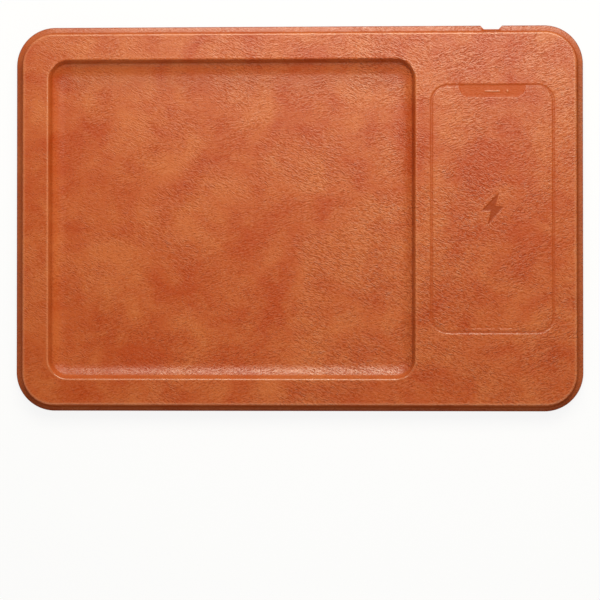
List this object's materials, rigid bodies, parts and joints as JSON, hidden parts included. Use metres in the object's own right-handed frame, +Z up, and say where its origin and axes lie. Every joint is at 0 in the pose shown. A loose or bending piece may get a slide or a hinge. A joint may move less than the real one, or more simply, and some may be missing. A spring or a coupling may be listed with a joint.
{
  "type": "wireless charging pad",
  "caption": "Flat desk tray of formed tan leather with a wide recessed tray, a phone charging zone with a pressed phone outline and bolt, and a USB-C port in the rear wall.",
  "frame": {"origin": "middle of the footprint, on the surface that the feet stand on", "axes": "+X to the right along the long side, +Y to the back where the port is, +Z up"},
  "size_m": [0.33, 0.224, 0.015],
  "materials": {
    "tan_leather": "fine-grained, semi-matt, two-tone",
    "shell_plastic": "moulded, matt",
    "base_board": "pressed fibre board, painted edge",
    "backing": "smooth, matt",
    "rubber": "matt",
    "screw_steel": "zinc plated",
    "bezel_plastic": "fine texture",
    "port_steel": "stamped, satin",
    "contact_gold": "plated",
    "circuit_laminate": "solder mask, satin",
    "chip_black": "moulded, matt",
    "capacitor_ceramic": "fired, matt",
    "copper_wire": "enamelled",
    "solder": "satin",
    "amber_film": "glossy",
    "ferrite": "fired, matt",
    "shield_aluminium": "rolled",
    "foam": "closed-cell foam"
  },
  "bodies": {
    "root": {"cover_leather": "tan_leather", "top_shell": "shell_plastic", "base_plate": "base_board", "base_leather": "backing", "foot_front_left": "rubber", "foot_front_right": "rubber", "foot_back_left": "rubber", "foot_back_right": "rubber", "case_screws": "screw_steel", "port_bezel": "bezel_plastic", "usb_shell": "port_steel", "usb_tongue": "chip_black", "usb_contacts": "contact_gold", "circuit_board": "circuit_laminate", "board_screws": "screw_steel", "controller_chip": "chip_black", "bridge_transistors": "chip_black", "power_inductor": "ferrite", "resonant_capacitors": "capacitor_ceramic", "input_capacitors": "capacitor_ceramic", "chip_resistors": "chip_black", "transmit_coil": "copper_wire", "lead_solder": "solder", "coil_film": "amber_film", "ferrite_plate": "ferrite", "shield_sheet": "shield_aluminium", "coil_carrier": "shell_plastic", "carrier_screws": "screw_steel", "foam_pad": "foam"}
  },
  "joints": []
}
